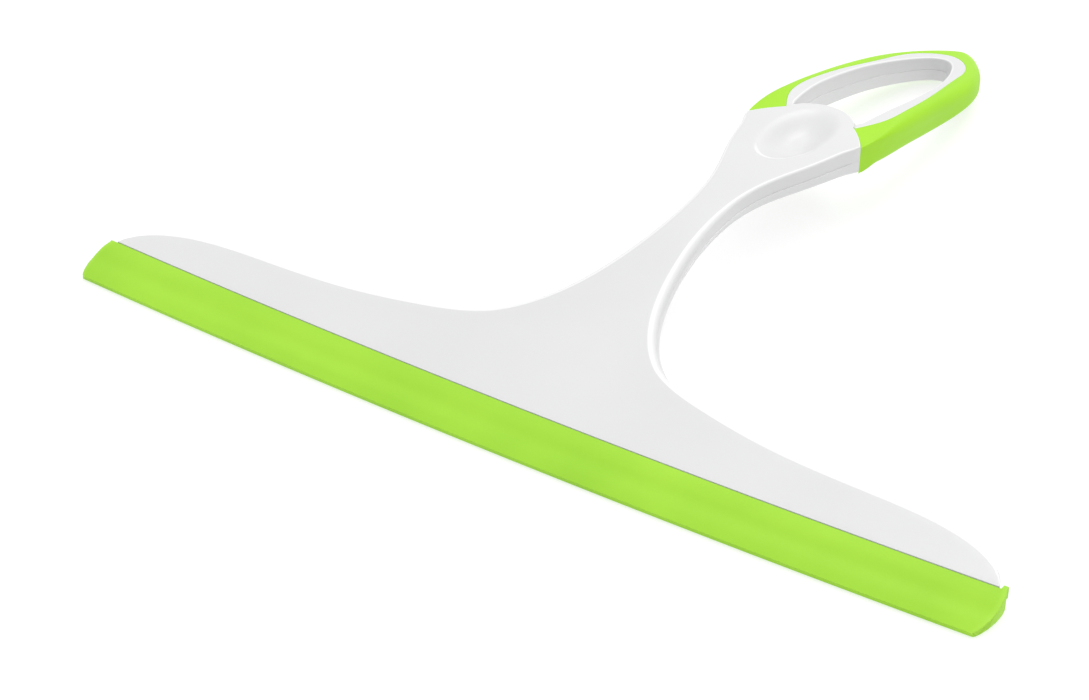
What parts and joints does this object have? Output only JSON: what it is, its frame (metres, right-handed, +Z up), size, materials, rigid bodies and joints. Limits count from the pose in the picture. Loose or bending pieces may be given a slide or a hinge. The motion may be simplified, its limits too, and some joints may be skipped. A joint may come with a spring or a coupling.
{
  "type": "window cleaning squeegee",
  "caption": "T-shaped window squeegee: two white half shells with an arched loop handle, a green rubber blade that slides out lengthwise and a green soft grip around the loop.",
  "frame": {"origin": "on the table, below the middle of the whole squeegee, as it lies on its lip and the tip of its loop", "axes": "+X along the blade, +Y from the blade towards the loop, +Z up"},
  "size_m": [0.2968, 0.2795, 0.025],
  "materials": {
    "white_plastic": "satin white moulded plastic",
    "blade_rubber": "matt lime green soft rubber",
    "grip_rubber": "satin lime green soft rubber"
  },
  "bodies": {
    "body": {"upper_shell": "white_plastic", "lower_shell": "white_plastic", "grip": "grip_rubber"},
    "blade": {"blade": "blade_rubber"}
  },
  "joints": [
    {"name": "blade_slide", "type": "hinge", "parent": "body", "child": "blade", "pos_m": [0, 2.87525, 0], "axis": [0, 0, 1], "range_deg": [0, 5.2]}
  ]
}
